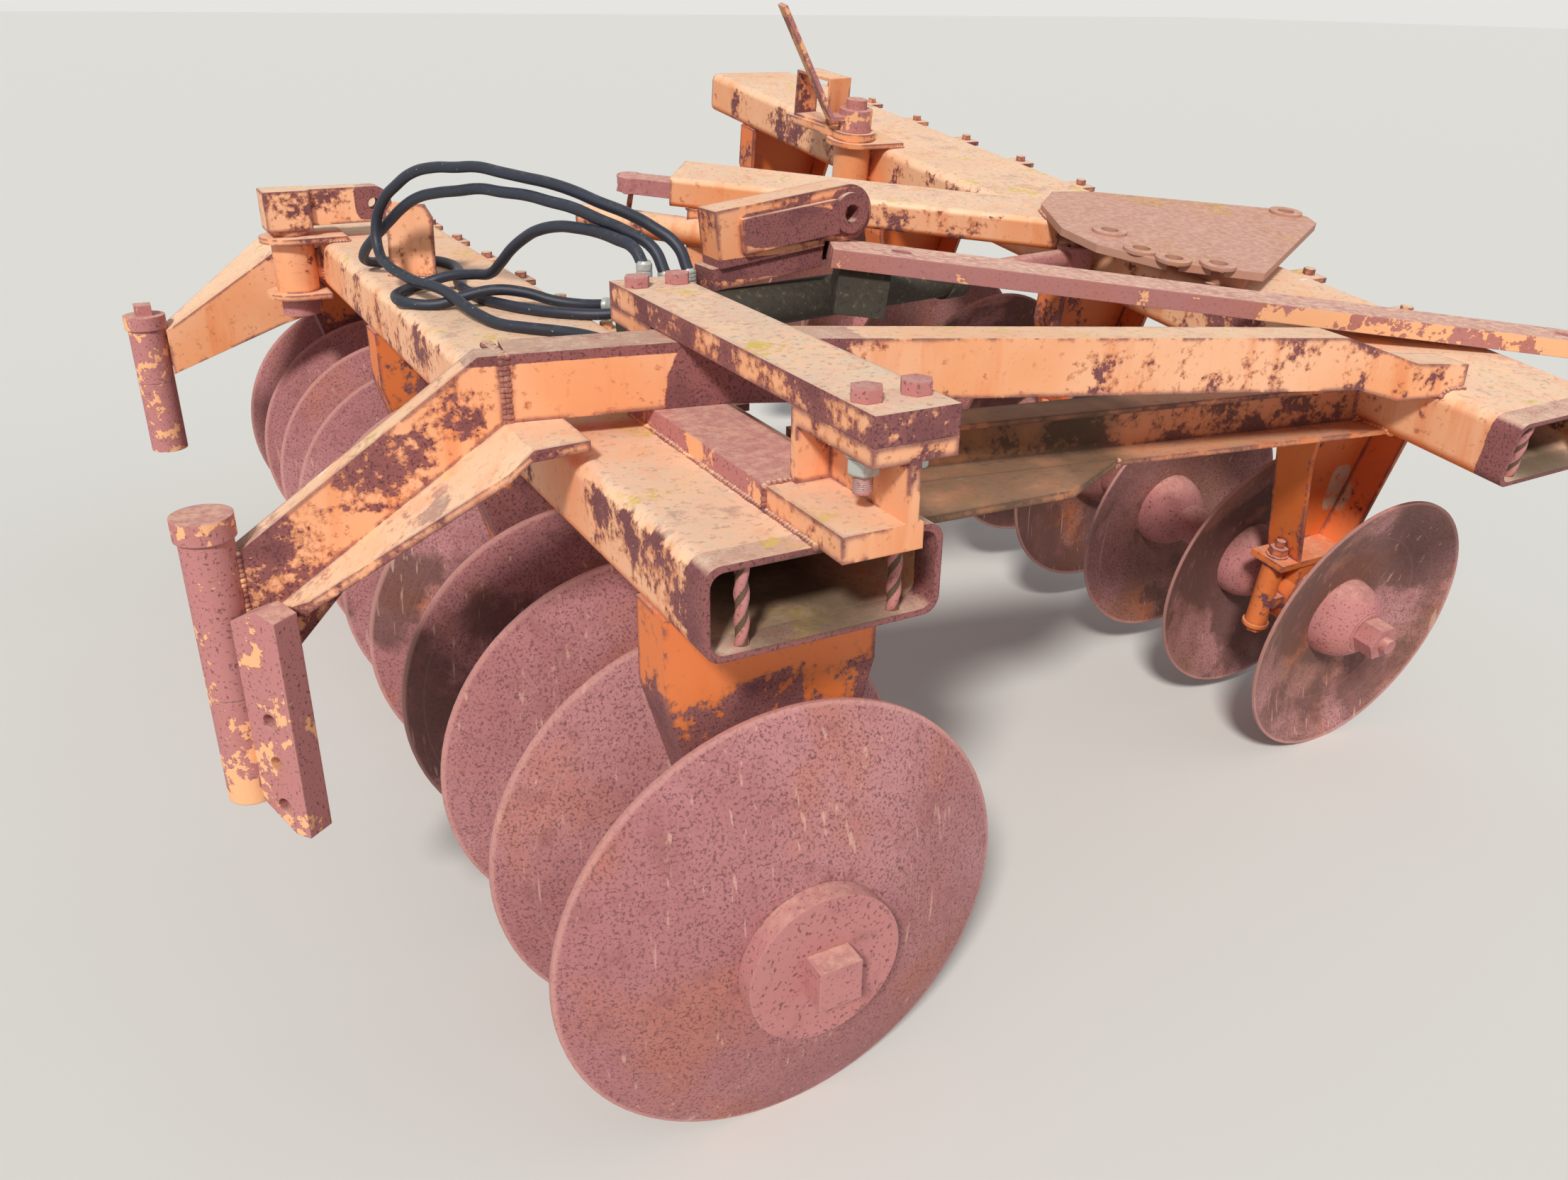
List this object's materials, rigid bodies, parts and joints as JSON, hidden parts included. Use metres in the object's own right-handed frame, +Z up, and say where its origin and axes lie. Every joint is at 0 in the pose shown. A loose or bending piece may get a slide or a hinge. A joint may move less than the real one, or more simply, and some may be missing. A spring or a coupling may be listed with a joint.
{
  "type": "disc harrow",
  "caption": "Offset disc harrow: two box gang beams over rows of dished discs on square axles, joined by a clamped cross channel, with swivel arms and loose drawbar parts.",
  "frame": {"origin": "middle of the bounding box, on the floor", "axes": "+X across the gangs towards the right gang, +Y along the left gang away from its near disc, +Z up"},
  "size_m": [2.7772, 3.3237, 1.5429],
  "materials": {
    "faded_orange": "sun-faded orange paint with rust",
    "orange": "orange paint with rust",
    "rust": "rusty",
    "dark_steel": "dark, mossy paint",
    "zinc": "dull",
    "hose_rubber": "worn"
  },
  "bodies": {
    "frame": {"left_beam": "faded_orange", "wear_strip": "rust", "left_pivot_bracket": "faded_orange", "left_pivot_pin": "rust", "hose_plate": "orange", "right_beam": "faded_orange", "right_pivot_bracket": "faded_orange", "right_pivot_pin": "rust", "cross_channel": "orange", "lower_channel": "dark_steel", "under_plate": "orange", "near_pedestal": "orange", "far_pedestal": "orange", "cap_bar": "faded_orange", "clamp_bolts": "rust", "near_arm": "faded_orange", "near_sleeve": "rust", "far_arm": "faded_orange", "far_sleeve": "rust", "left_hangers": "orange", "left_bearings": "rust", "right_hangers": "orange", "right_bearings": "rust", "tongue_beam": "faded_orange", "tongue_lug": "rust", "hitch_plate": "rust", "strut_bar": "rust", "coupling_block": "orange", "cylinder_barrel": "dark_steel", "cylinder_rod": "zinc", "rod_shelf": "rust", "saddle": "dark_steel", "link_rod": "orange", "hose_a": "hose_rubber", "hose_b": "hose_rubber", "hose_c": "hose_rubber", "hose_fittings": "zinc"},
    "left_gang": {"left_axle": "rust", "left_discs": "rust", "left_spools": "rust", "left_ends": "rust"},
    "right_gang": {"right_axle": "rust", "right_discs": "rust", "right_spools": "rust", "right_ends": "rust"},
    "near_leg": {"near_leg": "rust", "near_strap": "rust"},
    "far_leg": {"far_leg": "rust"},
    "left_eye": {"left_eye_block": "orange"},
    "right_lever": {"lever_base": "rust", "swivel_lever": "orange"}
  },
  "joints": [
    {"name": "left_gang_spin", "type": "hinge", "parent": "frame", "child": "left_gang", "pos_m": [-0.7096, -0.1451, 0.3555], "axis": [0, 1, 0], "continuous": true},
    {"name": "right_gang_spin", "type": "hinge", "parent": "frame", "child": "right_gang", "pos_m": [0.87497, 0.17476, 0.48643], "axis": [-0.0259, 0.9911, 0.1305], "continuous": true},
    {"name": "near_leg_swing", "type": "hinge", "parent": "frame", "child": "near_leg", "pos_m": [-1.3476, -1.0301, 0.66], "axis": [0, 0, 1], "range_deg": [-140, 0]},
    {"name": "far_leg_swing", "type": "hinge", "parent": "frame", "child": "far_leg", "pos_m": [-1.3096, 0.8599, 0.625], "axis": [0, 0, 1], "range_deg": [-90, 90]},
    {"name": "left_eye_swing", "type": "hinge", "parent": "frame", "child": "left_eye", "pos_m": [-0.9406, 0.7299, 1.0125], "axis": [0, 0, 1], "range_deg": [-50, 50]},
    {"name": "right_lever_swing", "type": "hinge", "parent": "frame", "child": "right_lever", "pos_m": [0.63345, 0.57358, 1.20242], "axis": [0.0034, -0.1305, 0.9914], "range_deg": [-40, 40]}
  ]
}
